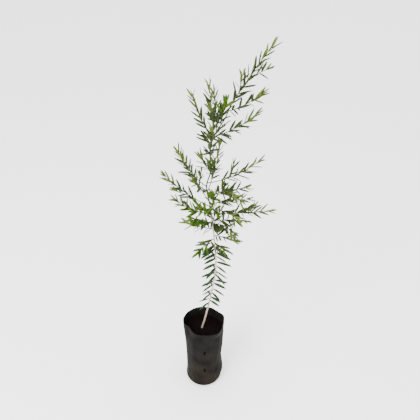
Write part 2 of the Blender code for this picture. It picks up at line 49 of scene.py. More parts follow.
LEAF_GAP = 0.0009

# Nursery bag
BAG_HEIGHT = 0.195
BAG_RADIUS = 0.0455
BAG_FLARE = 0.0028
BAG_CORNER = 0.012
BAG_FILM = 0.0005
BAG_SIDES = 220
BAG_LEVELS = 130
CORNER_STEPS = 12
RIM_WAVE = 0.0016
RIM_WAVE_START = 0.6
RIM_SMALL_WAVES = 0.5
RIM_REACH = 0.020
HOLE_HALF_WIDTH = 0.0030
HOLE_HALF_HEIGHT = 0.0064
HOLE_HEIGHTS = (0.066, 0.130)
HOLE_AZIMUTHS = (-86, -4, 94, 178)
HOLE_SIDES = 24
HOLE_REACH = 0.004

# Broad folds: azimuth, height, half their reach round the bag and up it, and how far they stand out
BAG_FOLDS = (
    (0, 0.028, 26, 0.030, 0.0034),
    (2, 0.150, 34, 0.045, 0.0030),
    (5, 0.080, 30, 0.022, -0.0014),
    (180, 0.190, 40, 0.030, 0.0012),
    (182, 0.050, 45, 0.050, -0.0018),
    (-143, 0.195, 18, 0.015, -0.0065),
    (-108, 0.180, 10, 0.040, 0.0010),
    (-46, 0.195, 16, 0.014, 0.0046),
    (15, 0.196, 10, 0.016, 0.0026),
    (42, 0.190, 14, 0.030, -0.0024),
    (-112, 0.100, 18, 0.060, 0.0012),
    (125, 0.120, 20, 0.060, 0.0014),
)

# Small creases: how often they come round the bag and up it, where their pattern starts, and how
# far it leans along X and Y as it goes up
UPRIGHT_CREASES = (3.2, 14, 0, 0, 0)
SLANT_CREASES = (2.4, 30, 7, 18, -12)
FINE_CREASES = (9, 70, 3, 0, 0)
CREASE_DEPTH = 0.0011
SLANT_SHARE = 1.2
FINE_SHARE = 0.3

# Soil
SOIL_DEPTH = 0.0250
SOIL_TOP = BAG_HEIGHT - SOIL_DEPTH
SOIL_INSET = 0.0012
SOIL_LEVELS = (0.003, 0.020, 0.070, 0.120, 0.150, SOIL_TOP - 0.004)
SOIL_EDGE = SOIL_TOP - 0.003
SOIL_RINGS = 46
SOIL_LUMP = 0.0022
LEVEL_SHARE = 0.25
EDGE_DIP = 0.3
CRUMBS = 700
CRUMB_SIZES = (0.0005, 0.0018)
CRUMB_SPREAD = (0.02, 0.9)
CRUMB_WIDTHS = (0.6, 1.2)
CRUMB_HEIGHTS = (0.5, 0.9)
CRUMB_RISE = 0.2
CRUMB_CORNERS = ((1, 0, 0), (-1, 0, 0), (0, 1, 0), (0, -1, 0), (0, 0, 1), (0, 0, -1))
CRUMB_FACES = ((0, 2, 4), (2, 1, 4), (1, 3, 4), (3, 0, 4), (2, 0, 5), (1, 2, 5), (3, 1, 5), (0, 3, 5))

# Lumps of the soil: how often they come, where their pattern starts, and their share of the height
SOIL_LUMPS = ((90, 3, 1.0), (260, 9, 0.5))

# Trunk
TRUNK_SIDES = 18
TRUNK_STEP = 0.0022
TRUNK_FOOT = SOIL_TOP + GAP
TRUNK_RADIUS = 0.0022
TRUNK_TIP_RADIUS = 0.0011
FLARE_RADIUS = 0.0005
FLARE_FADE = 0.0045
LEVEL_FOOT = 0.012
BARK_RELIEF = 0.00022
BARK_GRAIN = 900
BARK_GRAIN_ALONG = 160
NEARLY_UPRIGHT = 0.05
BEND_STEPS = 8

# Bends of the trunk as (height, x, y), read as a smooth line
TRUNK_BENDS = (
    (TRUNK_FOOT, -0.0035, 0.0000),
    (0.215, 0.0070, 0.0010),
    (0.300, 0.0225, 0.0035),
    (0.370, 0.0294, 0.0010),
    (0.450, 0.0250, -0.0025),
    (0.520, 0.0175, -0.0010),
    (0.570, 0.0094, 0.0025),
    (0.606, 0.0176, 0.0030),
    (0.655, 0.0166, 0.0000),
    (0.690, 0.0278, -0.0010),
    (0.716, 0.0435, 0.0005),
    (0.741, 0.0534, 0.0000),
)

# Side limbs and shoots
LIMB_RADIUS = 0.0012
LONG_LIMB = 0.130
SHORT_LIMB_SHARE = 0.3
LIMB_TIP_RADIUS = 0.00050
LIMB_SIDES = 8
PATH_STEPS = 24
RING_STEP = 0.005
BARE_STEPS = 6

# Leaves
LEAF_LENGTH = 0.026
LEAF_WIDTH = 0.0046
LEAF_WIDTHS = {"mature": 1.0, "young": 0.85, "bright": 1.15, "dark": 1.25}
LONG_LEAF_POWER = 0.6
LEAF_THICKNESS = 0.00095
LEAF_FOLD = 0.28
LEAF_BOW = (-0.10, 0.05)
LEAF_STEP_FOOT = 0.0042
LEAF_STEP_TIP = 0.0040
STEP_SPREAD = (0.85, 1.15)
LEAF_ANGLE_LEVEL = 62
LEAF_ANGLE_STEEP = 38
LEAF_ANGLE_TIP = 26
LEAF_SCATTER = 9
LEAF_SIZE_FOOT = 1.04
LEAF_SIZE_TIP = 0.84
LEAF_SIZES = (0.82, 1.12)
GOLDEN_ANGLE = 137.5
FIRST_LEAF = 0.004
TIP_BARE = 0.005
TIP_LEAVES = 3
TIP_LEAF_ANGLE = 20
TIP_LEAF_ANGLES = (0.3, 1.4)
TIP_LEAF_SHARE = 0.84
TIP_LEAF_SIZES = (0.8, 1.15)
TIP_LEAF_STEP = 0.0004
YOUNG_FROM = 0.72
YOUNG_SPREAD = 0.01
TURNS_TRIED = 5
LEAF_CHECKS = (0.30, 0.65, 1.0)

# Outline of a leaf, as places along it and widths there, each as a share
LEAF_OUTLINE = ((0.0, 0.26), (0.10, 0.62), (0.26, 0.95), (0.48, 1.0), (0.72, 0.88), (0.89, 0.52))

# What a leaf's face turns to: its twig's tip, the light, away from the crown's middle, and chance
TIPWARD_SHARE = 0.3
LIGHT_SIDE = Vector((-0.05, -0.40, 0.65))
CROWN_MIDDLE = Vector((0.020, 0.0, 0.0))
OUTWARD_SHARE = 0.3
LEAF_TURN = 0.35

# Side twigs of a shoot
TWIG_ANGLE = 42
TWIG_SHARE = 0.33
TWIG_LIFT = 12
TWIG_STEEPEST = 80
TWIG_LEAF_SHARE = 0.85
FIRST_TWIG = 0.22
NEXT_TWIG = 0.30
TWIG_FALL_OFF = 0.2

# Leafy shoots: height on the trunk, azimuth, rise, swing, lift, length, bare foot, side twigs.
# A shoot with a bare foot has a bough of that length, and one without grows from the trunk.
SHOOTS = {
    "top_right": (0.731, -25, 24, -13, 20, 0.076, 0, 0),
    "top_right_low": (0.681, -10, 22, -11, 24, 0.092, 0, 0),
    "top_upright": (0.680, 112, 76, 5, 4, 0.092, 0, 0),
    "top_front": (0.704, -78, 58, 6, 4, 0.062, 0, 1),
    "top_left": (0.674, 158, 56, 6, 16, 0.086, 0.018, 0),
    "top_back": (0.690, 84, 34, 20, 22, 0.078, 0, 1),
    "top_short_left": (0.706, -160, 52, 0, 16, 0.036, 0, 0),
    "top_short_right": (0.688, -48, 44, 0, 10, 0.036, 0, 0),
    "top_short_front": (0.668, -84, 46, 0, 12, 0.036, 0, 0),
    "top_short_low": (0.662, 170, 58, 0, 10, 0.030, 0, 0),
    "left_high": (0.571, 173, 36, -22, 26, 0.088, 0.026, 0),
    "left_mid": (0.525, -169, 33, 4, 20, 0.120, 0.030, 1),
    "left_front": (0.506, -139, 30, 7, 18, 0.118, 0.032, 1),
    "left_back": (0.470, 170, 2, -8, 6, 0.058, 0, 0),
    "left_low": (0.444, -126, 12, 10, -12, 0.060, 0, 0),
    "front_high": (0.512, -107, 34, 4, 4, 0.102, 0, 2),
    "front_left": (0.486, -120, 34, 2, 4, 0.096, 0, 1),
    "right_high": (0.579, -1, 9, 2, 33, 0.112, 0.024, 1),
    "right_front": (0.556, -38, 34, -22, -36, 0.100, 0.026, 1),
    "right_back": (0.548, 36, 2, -16, -10, 0.090, 0, 1),
    "right_long": (0.508, -4, 4, -11, 10, 0.118, 0.028, 2),
    "right_mid": (0.532, 24, -4, -14, 4, 0.080, 0, 1),
    "right_front_low": (0.520, -40, 22, -16, -24, 0.078, 0, 1),
    "right_inner": (0.490, -10, 16, -12, -8, 0.070, 0, 1),
    "right_low_front": (0.482, -44, 34, -30, -40, 0.084, 0, 1),
    "right_low": (0.454, -24, 6, -18, 6, 0.050, 0, 0),
    "right_lowest": (0.434, -52, 8, 4, -6, 0.036, 0, 0),
    "mid_upright": (0.596, -76, 60, 0, 8, 0.042, 0, 0),
    "mid_left": (0.604, 170, 48, 0, 20, 0.036, 0, 0),
    "mid_front": (0.562, -132, 40, 0, 12, 0.050, 0, 0),
    "mid_front_low": (0.540, -72, 36, 0, 0, 0.052, 0, 0),
    "back_high": (0.610, 95, 38, -24, 16, 0.104, 0.020, 1),
    "back_right": (0.558, 66, 30, 12, 14, 0.108, 0.024, 1),
    "back_left": (0.536, 124, 28, 10, 18, 0.110, 0.024, 1),
    "back_low": (0.462, 84, 18, 18, 14, 0.092, 0, 1),
}

# The leader goes on from the trunk's tip: azimuth, rise, swing, lift, length, side twigs
LEADER = (17, 57, -12, -4, 0.120, 2)

# Where the leaves are brightest, as the middle of each place and how far it reaches
BRIGHT_PLACES = (
    (Vector((0.009, -0.042, 0.538)), 0.034),
    (Vector((-0.007, -0.040, 0.446)), 0.020),
    (Vector((0.066, -0.034, 0.487)), 0.022),
    (Vector((0.034, -0.022, 0.752)), 0.024),
)

# Upper tufts of leaves straight on the trunk: height, azimuth, rise, leaf length as a share, leaves
TUFTS = {
    "j": (0.646, -172, 0, 0.90, 3),
    "k": (0.652, -20, 20, 0.90, 3),
}
TUFT_FAN = 110
TUFT_TURN = 8
TUFT_RISE = 14
TUFT_HEIGHT = 0.007

# Long leaves that stand singly low on the trunk, in place of the lower tufts of the solids. They
# point by turns to the left and to the right, and every fifth one to the back.
LOW_TUFTS = "abcdefghi"
LOW_LEAVES = (0.254, 0.438)
LOW_LEAF_STEP = 0.0054
LOW_LEAF_AZIMUTHS = (-138, -42, -150, -30, 96)
LOW_LEAF_TURN = 14
LOW_LEAF_RISES = (-22, 4)
LOW_LEAF_SIZES = (1.05, 1.50)
TRUNK_LEAF_SIZES = (0.85, 1.1)
TRUNK_LEAF_ROOT = 0.6
SEED = 41

# Colours as red, green and blue, with their places in a pattern or up the trunk where they have any
# The film's colour high on the bag, then its browner colour, blended in more and more below the height
# that follows them
FILM_UPPER = ((0.35, (0.0035, 0.0034, 0.0031)), (0.62, (0.0082, 0.0077, 0.0070)))
FILM_LOW_BROWN = ((0.35, (0.004, 0.0031, 0.0024)), (0.65, (0.013, 0.0092, 0.0063)))
BROWNING_TOP = 0.16
SOIL_COLOURS = (
    (0.30, (0.0006, 0.0003, 0.0002)),
    (0.55, (0.0022, 0.0010, 0.0006)),
    (0.80, (0.010, 0.0045, 0.0028)),
)
BARK_HEIGHTS = (0.17, 0.74)
BARK_COLOURS = (
    (0.0, (0.25, 0.19, 0.15)),
    (0.10, (0.34, 0.27, 0.21)),
    (0.30, (0.62, 0.54, 0.42)),
    (0.48, (0.50, 0.42, 0.30)),
    (0.60, (0.09, 0.075, 0.040)),
    (0.72, (0.035, 0.034, 0.015)),
    (1.0, (0.035, 0.045, 0.014)),
)
BARK_FLECKS = ((0.35, (0.45, 0.40, 0.34)), (0.60, (1, 1, 1)))
FLECK_SHARE = 0.7
TWIG_COLOURS = ((0.35, (0.026, 0.024, 0.010)), (0.65, (0.045, 0.058, 0.014)))
LEAF_COLOURS = {
    "mature": ((0.36, (0.013, 0.026, 0.005)), (0.64, (0.038, 0.059, 0.011))),
    "young": ((0.36, (0.040, 0.068, 0.008)), (0.64, (0.090, 0.122, 0.018))),
    "bright": ((0.36, (0.020, 0.060, 0.002)), (0.64, (0.060, 0.115, 0.005))),
    "dark": ((0.36, (0.010, 0.023, 0.008)), (0.64, (0.027, 0.049, 0.015))),
}
FLOOR_COLOUR = (0.96, 0.96, 0.96)
SKY_COLOUR = (1, 1, 1)

# Studio light: spot, size and power of each lamp, and what they are aimed at
LAMPS = {
    "key": ((-1.0, -1.3, 1.9), 1.2, 90),
    "fill": ((1.4, -0.8, 1.2), 1.4, 6),
}
LAMPS_AIM = (0, 0, 0.4)
SKY_STRENGTH = 3.0
FLOOR_REACH = 6.0
FLOOR_ROUGHNESS = 0.9

# The camera that took the photograph
CAMERA_SPOT = (0.0164, -0.82, 1.047)
CAMERA_DIP = 32.9
CAMERA_SENSOR = 36
CAMERA_LENS = 40.37


# Shapes


def mix(a, b, share):
    """The value that lies at that share of the way from a to b."""
    return a + (b - a) * share


def bump(distance, reach):
    """1 at no distance, falling smoothly to 0 at the reach."""
    share = min(1.0, abs(distance) / reach)
    return (1 - share * share) ** 2


def angle_between(a, b):
    """The turn from b to a in degrees, from -180 to 180."""
    return (a - b + 180) % 360 - 180


def add_piece(name, verts, faces, finish, slot, stands_for=()):
    """One piece of the dressed plant, which stands still on the part's only body."""
    mesh = bpy.data.meshes.new(name)
    mesh.from_pydata([tuple(v) for v in verts], [], faces)
    mesh.update()
    mesh.materials.append(finish)
    mesh.shade_smooth()
    piece = bpy.data.objects.new(name, mesh)
    bpy.context.scene.collection.objects.link(piece)
    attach(piece, "root")
    if stands_for:
        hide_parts(*stands_for)
    return piece


def ring_faces(rings, sides):
    """Four-sided faces between rings of points, numbered ring by ring, from low to high."""
    faces = []
    for ring in range(rings - 1):
        low, high = ring * sides, (ring + 1) * sides
        for i in range(sides):
            after = (i + 1) % sides
            faces.append((low + i, low + after, high + after, high + i))
    return faces


def smooth_line(points, steps):
    """A line that runs smoothly through the points, as a list of closely spaced points."""
    ends = [points[0] * 2 - points[1], *points, points[-1] * 2 - points[-2]]
    line = []
    for a, b, c, d in zip(ends, ends[1:], ends[2:], ends[3:]):
        slope = (c - a) * 0.5
        bend = a - b * 2.5 + c * 2 - d * 0.5
        twist = (b - c) * 1.5 + (d - a) * 0.5
        for i in range(steps):
            t = i / steps
            line.append(b + slope * t + bend * t**2 + twist * t**3)
    return [*line, points[-1]]


def heading_of(azimuth, rise):
    """The direction that points to that azimuth and rises by that angle."""
    turn, tilt = math.radians(azimuth), math.radians(rise)
    return Vector((math.cos(turn) * math.cos(tilt), math.sin(turn) * math.cos(tilt), math.sin(tilt)))


def limb_path(start, azimuth, rise, swing, lift, length):
    """A line of that length whose heading turns evenly by the swing and the lift."""
    points = [start.copy()]
    for i in range(PATH_STEPS):
        share = (i + 0.5) / PATH_STEPS
        heading = heading_of(azimuth + swing * share, rise + lift * share)
        points.append(points[-1] + heading * (length / PATH_STEPS))
    return points


def path_length(path):
    """The length of the line through the path's points."""
    return sum((b - a).length for a, b in zip(path, path[1:]))


def place_on(path, distance):
    """The point that far along the path, and the path's heading there."""
    for a, b in zip(path, path[1:]):
        step = (b - a).length
        if distance <= step or b is path[-1]:
            return a + (b - a) * (distance / step), (b - a).normalized()
        distance -= step
    return path[-1], (path[-1] - path[-2]).normalized()


def square_to(heading):
    """Two directions at right angles to the heading and to each other."""
    side = Vector((0, 0, 1)).cross(heading)
    if side.length < NEARLY_UPRIGHT:
        side = Vector((0, 1, 0)).cross(heading)
    side.normalize()
    return side, heading.cross(side).normalized()


def tube(stations, sides, relief):
    """A closed tapering tube with a grain, round the stations, each (centre, heading, radius)."""
    verts = []
    side, _ = square_to(stations[0][1])
    for centre, heading, radius in stations:
        side = (side - heading * side.dot(heading)).normalized()
        top = heading.cross(side)
        for i in range(sides):
            turn = 2 * math.pi * i / sides
            spoke = side * math.cos(turn) + top * math.sin(turn)
            spot = centre + spoke * radius
            grain = Vector((spot.x * BARK_GRAIN, spot.y * BARK_GRAIN, spot.z * BARK_GRAIN_ALONG))
            verts.append(spot + spoke * relief * noise.noise(grain))
    faces = ring_faces(len(stations), sides)
    last = (len(stations) - 1) * sides
    foot, tip = len(verts), len(verts) + 1
    verts += [stations[0][0].copy(), stations[-1][0].copy()]
    for i in range(sides):
        faces.append((foot, (i + 1) % sides, i))
        faces.append((tip, last + i, last + (i + 1) % sides))
    return verts, faces


def gather(parts):
    """Several solids as one list of points and one of faces."""
    verts, faces = [], []
    for part_verts, part_faces in parts:
        first = len(verts)
        verts += part_verts
        faces += [tuple(first + index for index in face) for face in part_faces]
    return verts, faces


def segments_of(path, every=3):
    """The path as arrays of segment starts and ends, thinned out."""
    kept = path[::every] if path[::every][-1] is path[-1] else [*path[::every], path[-1]]
    points = np.array([tuple(p) for p in kept])
    return points[:-1], points[1:]


def joined_segments(paths):
    """The segments of several paths as one pair of arrays."""
    pairs = [segments_of(path) for path in paths]
    return np.concatenate([a for a, _ in pairs]), np.concatenate([b for _, b in pairs])


def distance_to(point, segments):
    """The distance from a point to the nearest of the segments."""
    a, b = segments
    run = b - a
    share = np.clip(((point - a) * run).sum(1) / (run * run).sum(1), 0, 1)
    return float(np.sqrt(((a + run * share[:, None] - point) ** 2).sum(1).min()))


# Limbs


def trunk_path():
    """The trunk's middle line as the points where its rings sit."""
    line = smooth_line([Vector((x, y, z)) for z, x, y in TRUNK_BENDS], BEND_STEPS)
    length = path_length(line)
    count = round(length / TRUNK_STEP)
    return [place_on(line, length * i / count)[0] for i in range(count + 1)]


def trunk_at(path, height):
    """The point of the trunk's middle line at that height."""
    for a, b in zip(path, path[1:]):
        if b.z >= height:
            return a + (b - a) * ((height - a.z) / (b.z - a.z))
    return path[-1]


def trunk_radius(height):
    """The trunk's radius at that height, with the flare at its foot."""
    share = (height - TRUNK_FOOT) / (TRUNK_BENDS[-1][0] - TRUNK_FOOT)
    flare = FLARE_RADIUS * math.exp(-(height - TRUNK_FOOT) / FLARE_FADE)
    return mix(TRUNK_RADIUS, TRUNK_TIP_RADIUS, share) + flare


def limb_radius(distance, length):
    """The radius of a side limb, which is stouter the longer the limb is."""
    stout = min(1.0, mix(SHORT_LIMB_SHARE, 1, length / LONG_LIMB))
    foot = mix(LIMB_TIP_RADIUS, LIMB_RADIUS, stout)
    return mix(foot, LIMB_TIP_RADIUS, distance / length)


def stations_on(path, first, last, length):
    """Evenly spaced stations between two distances along a path."""
    count = max(2, round((last - first) / RING_STEP) + 1)
    stations = []
    for i in range(count):
        distance = mix(first, last, i / (count - 1))
        centre, heading = place_on(path, distance)
        stations.append((centre, heading, limb_radius(distance, length)))
    return stations


def clear_distance(path, trunk):
    """How far along the path a limb has left the trunk behind."""
    segments = segments_of(trunk, 1)
    distance = 0.0
    while True:
        point, _ = place_on(path, distance)
        if distance_to(np.array(point), segments) > trunk_radius(point.z) + LIMB_RADIUS + GAP:
            return distance
        distance += GAP


# Leaves and the shoots that carry them


def leaf_blade(root, heading, tipward, length, wide, rng):
    """A slim strap of a leaf with a pointed tip, folded along its middle and bowed a little."""
    loose = Vector((rng.uniform(-1, 1), rng.uniform(-1, 1), rng.uniform(-1, 1)))
    outward = ((root - CROWN_MIDDLE) * Vector((1, 1, 0))).normalized()
    facing = tipward * TIPWARD_SHARE + LIGHT_SIDE + outward * OUTWARD_SHARE + loose * LEAF_TURN
    side = heading.cross(facing).normalized()
    top = side.cross(heading).normalized()
    bow = length * rng.uniform(*LEAF_BOW)
    half_width = LEAF_WIDTH / 2 * wide * (length / LEAF_LENGTH) ** LONG_LEAF_POWER
    verts = []
    for share, width in LEAF_OUTLINE:
        centre = root + heading * length * share + top * bow * share * share
        half = half_width * width
        thick = LEAF_THICKNESS / 2 * width
        fold_up = top * half * LEAF_FOLD
        verts += [
            centre + side * half + fold_up,
            centre + top * thick,
            centre - side * half + fold_up,
            centre - top * thick,
        ]
    verts.append(root + heading * length + top * bow)
    faces = [tuple(reversed(face)) for face in ring_faces(len(LEAF_OUTLINE), 4)]
    last, tip = (len(LEAF_OUTLINE) - 1) * 4, len(verts) - 1
    faces.append((0, 1, 2, 3))
    for i in range(4):
        faces.append((tip, last + (i + 1) % 4, last + i))
    return verts, faces


def leaf_spots(twig, rng):
    """Where a twig's leaves sit: (distance, roll, angle to the twig, share of full length)."""
    length = path_length(twig["path"])
    _, heading = place_on(twig["path"], length / 2)
    foot_angle = mix(LEAF_ANGLE_LEVEL, LEAF_ANGLE_STEEP, max(0.0, heading.z))
    spots = []
    distance = twig["first"]
    roll = rng.uniform(0, 360)
    while distance < length - TIP_BARE:
        share = distance / length
        angle = mix(foot_angle, LEAF_ANGLE_TIP, share**1.5) + rng.uniform(-1, 1) * LEAF_SCATTER
        size = mix(LEAF_SIZE_FOOT, LEAF_SIZE_TIP, share**3) * rng.uniform(*LEAF_SIZES)
        spots.append((distance, roll, angle, size * twig["size"]))
        roll += GOLDEN_ANGLE + rng.uniform(-1, 1) * LEAF_SCATTER
        distance += mix(LEAF_STEP_FOOT, LEAF_STEP_TIP, share) * rng.uniform(*STEP_SPREAD)
    for i in range(TIP_LEAVES):
        angle = TIP_LEAF_ANGLE * rng.uniform(*TIP_LEAF_ANGLES)
        size = TIP_LEAF_SHARE * rng.uniform(*TIP_LEAF_SIZES)
        spots.append((length - TIP_LEAF_STEP * i, roll, angle, size * twig["size"]))
        roll += GOLDEN_ANGLE
    return spots


def leaf_heading(heading, roll, angle):
    """The direction of a leaf or twig that leaves a twig at that roll and angle."""
    side, top = square_to(heading)
    turn, tilt = math.radians(roll), math.radians(angle)
    spoke = side * math.cos(turn) + top * math.sin(turn)
    return heading * math.cos(tilt) + spoke * math.sin(tilt)


def keeps_clear(points, own, others, limbs):
    """True if a leaf's points lie nearest to its own twigs, touch no limb and end above the rim."""
    for point in points:
        spot = np.array(point)
        if distance_to(spot, others) < distance_to(spot, own) + 2 * LEAF_GAP:
            return False
        if any(distance_to(spot, line) < radius + LEAF_GAP for line, radius in limbs):
            return False
    return points[-1].z > BAG_HEIGHT + 2 * RIM_WAVE


def twigs_of(path, bare, clear, side_twigs, rng):
    """A shoot's stem, and the side twigs that leave it."""
    length = path_length(path)
    first = max(bare + FIRST_LEAF, clear)
    twigs = [{"path": path, "first": first, "size": 1.0}]
    roll = rng.uniform(0, 360)
    for i in range(side_twigs):
        distance = bare + (length - bare) * (FIRST_TWIG + NEXT_TWIG * i)
        start, heading = place_on(path, distance)
        out = leaf_heading(heading, roll, TWIG_ANGLE)
        azimuth = math.degrees(math.atan2(out.y, out.x))
        rise = math.degrees(math.asin(out.z))
        reach = TWIG_SHARE * (length - bare) * (1 - TWIG_FALL_OFF * i)
        side = limb_path(start, azimuth, rise, 0, min(TWIG_LIFT, TWIG_STEEPEST - rise), reach)
        twigs.append({"path": side, "first": 2 * FIRST_LEAF, "size": TWIG_LEAF_SHARE})
        roll += GOLDEN_ANGLE
    return twigs


def plan_masses(trunk):
    """Every shoot's path and side twigs, worked out before any leaf is grown."""
    masses = {}
    azimuth, rise, swing, lift, length, side_twigs = LEADER
    plans = {"leader": (limb_path(trunk[-1], azimuth, rise, swing, lift, length), 0.0, side_twigs)}
    for name, (height, azimuth, rise, swing, lift, length, bare, side_twigs) in SHOOTS.items():
        path = limb_path(trunk_at(trunk, height), azimuth, rise, swing, lift, length)
        plans[name] = (path, bare, side_twigs)
    for order, (name, (path, bare, side_twigs)) in enumerate(plans.items()):
        rng = random.Random(SEED + order)
        clear = 0.0 if name == "leader" else clear_distance(path, trunk)
        twigs = twigs_of(path, bare, clear, side_twigs, rng)
        masses[name] = {"path": path, "bare": bare, "twigs": twigs, "seed": SEED * 100 + order}
    return masses


def kind_of_leaf(root, young):
    """A leaf's kind: bright in a few places of the crown, and young near the shoots' tips."""
    if any((root - spot).length < reach for spot, reach in BRIGHT_PLACES):
        return "bright"
    return "young" if young else "mature"


def grow_mass(mass, others, limbs, leaves):
    """The leaves of one mass, each turned round its twig until it is clear, or left out."""
    rng = random.Random(mass["seed"])
    own = joined_segments([twig["path"] for twig in mass["twigs"]])
    for twig in mass["twigs"]:
        whole = path_length(twig["path"])
        for distance, roll, angle, size in leaf_spots(twig, rng):
            root, heading = place_on(twig["path"], distance)
            length = LEAF_LENGTH * size
            young = distance > YOUNG_FROM * whole + rng.uniform(-YOUNG_SPREAD, YOUNG_SPREAD)
            for attempt in range(TURNS_TRIED):
                out = leaf_heading(heading, roll + attempt * 360 / TURNS_TRIED, angle)
                points = [root + out * length * share for share in LEAF_CHECKS]
                if keeps_clear(points, own, others, limbs):
                    kind = kind_of_leaf(root, young)
                    leaves[kind].append(leaf_blade(root, out, heading, length, LEAF_WIDTHS[kind], rng))
                    break


def trunk_leaf(spot, radius, azimuth, rise, size, rng):
    """A dark leaf that stands straight on the trunk, at a spot of its middle line."""
    out = heading_of(azimuth, rise)
    root = spot + out * radius * TRUNK_LEAF_ROOT
    length = LEAF_LENGTH * size * rng.uniform(*TRUNK_LEAF_SIZES)
    return leaf_blade(root, out, Vector((0, 0, 1)), length, LEAF_WIDTHS["dark"], rng)


def upper_tuft(trunk, height, azimuth, rise, size, count, rng):
    """Leaves that stand on the trunk round one height, spread as a fan."""
    blades = []
    for i in range(count):
        share = i / (count - 1) - 0.5
        turn = azimuth + TUFT_FAN * share + rng.uniform(-TUFT_TURN, TUFT_TURN)
        tilt = rise + rng.uniform(-TUFT_RISE, TUFT_RISE)
        spot = trunk_at(trunk, height + TUFT_HEIGHT * share)
        blades.append(trunk_leaf(spot, trunk_radius(height), turn, tilt, size, rng))
    return blades


def low_leaves(trunk):
    """The long leaves that stand singly up the lower trunk."""
    rng = random.Random(SEED)
    low, high = LOW_LEAVES
    count = round((high - low) / LOW_LEAF_STEP)
    blades = []
    for i in range(count):
        share = i / count
        height = mix(low, high, share) + rng.uniform(-1, 1) * LOW_LEAF_STEP / 4
        azimuth = LOW_LEAF_AZIMUTHS[i % len(LOW_LEAF_AZIMUTHS)]
        turn = azimuth + rng.uniform(-LOW_LEAF_TURN, LOW_LEAF_TURN)
        tilt = rng.uniform(*LOW_LEAF_RISES)
        size = mix(*LOW_LEAF_SIZES, share)
        blades.append(trunk_leaf(trunk_at(trunk, height), trunk_radius(height), turn, tilt, size, rng))
    return blades


# Finishes


def new_finish(name, roughness, shine=0.2):
    """An empty finish with its node tree, its shader and its place in space."""
    finish = bpy.data.materials.new(name)
    finish.use_nodes = True
    tree = finish.node_tree
    shader = tree.nodes["Principled BSDF"]
    shader.inputs["Roughness"].default_value = roughness
    shader.inputs["Specular IOR Level"].default_value = shine
    place = tree.nodes.new("ShaderNodeTexCoord").outputs["Object"]
    return finish, tree, shader, place


def noise_node(tree, place, scale, detail=6.0):
    """A noise pattern as a value from 0 to 1."""
    node = tree.nodes.new("ShaderNodeTexNoise")
    node.inputs["Scale"].default_value = scale
    node.inputs["Detail"].default_value = detail
    tree.links.new(place, node.inputs["Vector"])
    return node.outputs["Fac"]


def ramp_node(tree, value, stops):
    """Colours dealt out along a value, as (place, colour) stops."""
    node = tree.nodes.new("ShaderNodeValToRGB")
    band = node.color_ramp
    while len(band.elements) < len(stops):
        band.elements.new(0.5)
    for element, (place, colour) in zip(band.elements, stops):
        element.position = place
        element.color = (*colour, 1)
    tree.links.new(value, node.inputs["Fac"])
    return node.outputs["Color"]


def height_node(tree, place, low, high):
    """0 at the first height and 1 at the second."""
    split = tree.nodes.new("ShaderNodeSeparateXYZ")
    tree.links.new(place, split.inputs["Vector"])
    span = tree.nodes.new("ShaderNodeMapRange")
    span.inputs["From Min"].default_value = low
    span.inputs["From Max"].default_value = high
    tree.links.new(split.outputs["Z"], span.inputs["Value"])
    return span.outputs["Result"]


def blend_node(tree, share, a, b):
    """The first colour where the share is 0, and the second where it is 1."""
    node = tree.nodes.new("ShaderNodeMix")
    node.data_type = "RGBA"
    tree.links.new(share, node.inputs["Factor"])
    tree.links.new(a, node.inputs["A"])
    tree.links.new(b, node.inputs["B"])
    return node.outputs["Result"]


def add_bump(tree, shader, height, strength, distance):
    """Gives the shader a fine relief from a pattern."""
    node = tree.nodes.new("ShaderNodeBump")
    node.inputs["Strength"].default_value = strength
    node.inputs["Distance"].default_value = distance
    tree.links.new(height, node.inputs["Height"])
    tree.links.new(node.outputs["Normal"], shader.inputs["Normal"])


def film_finish():
    """Black polythene, browner towards the ground."""
    finish, tree, shader, place = new_finish("film", roughness=0.6, shine=0.02)
    patches = noise_node(tree, place, scale=28)
    upper_colour = ramp_node(tree, patches, FILM_UPPER)
    low_colour = ramp_node(tree, patches, FILM_LOW_BROWN)
    low = height_node(tree, place, BROWNING_TOP, 0.0)
    tree.links.new(blend_node(tree, low, upper_colour, low_colour), shader.inputs["Base Color"])
    fine = noise_node(tree, place, scale=420)
    add_bump(tree, shader, fine, strength=0.25, distance=0.0006)
    return finish


def soil_finish():
    """Dark potting soil with paler grains."""
    finish, tree, shader, place = new_finish("soil", roughness=0.95, shine=0.05)
    grains = noise_node(tree, place, scale=520)
    tree.links.new(ramp_node(tree, grains, SOIL_COLOURS), shader.inputs["Base Color"])
    add_bump(tree, shader, grains, strength=0.8, distance=0.001)
    return finish


def bark_finish():
    """Pale tan bark that turns dark, green and brown towards the young wood."""
    finish, tree, shader, place = new_finish("bark", roughness=0.75)
    colour = ramp_node(tree, height_node(tree, place, *BARK_HEIGHTS), BARK_COLOURS)
    flecks = noise_node(tree, place, scale=700)
    shade = ramp_node(tree, flecks, BARK_FLECKS)
    dapple = tree.nodes.new("ShaderNodeMix")
    dapple.data_type = "RGBA"
    dapple.blend_type = "MULTIPLY"
    dapple.inputs["Factor"].default_value = FLECK_SHARE
    tree.links.new(colour, dapple.inputs["A"])
    tree.links.new(shade, dapple.inputs["B"])
    tree.links.new(dapple.outputs["Result"], shader.inputs["Base Color"])
    add_bump(tree, shader, flecks, strength=0.5, distance=0.0004)
    return finish


def twig_finish():
    """Thin young bark, green and brown."""
    finish, tree, shader, place = new_finish("twig", roughness=0.6)
    drift = noise_node(tree, place, scale=60)
    tree.links.new(ramp_node(tree, drift, TWIG_COLOURS), shader.inputs["Base Color"])
    grain = noise_node(tree, place, scale=900)
    add_bump(tree, shader, grain, strength=0.3, distance=0.0003)
    return finish


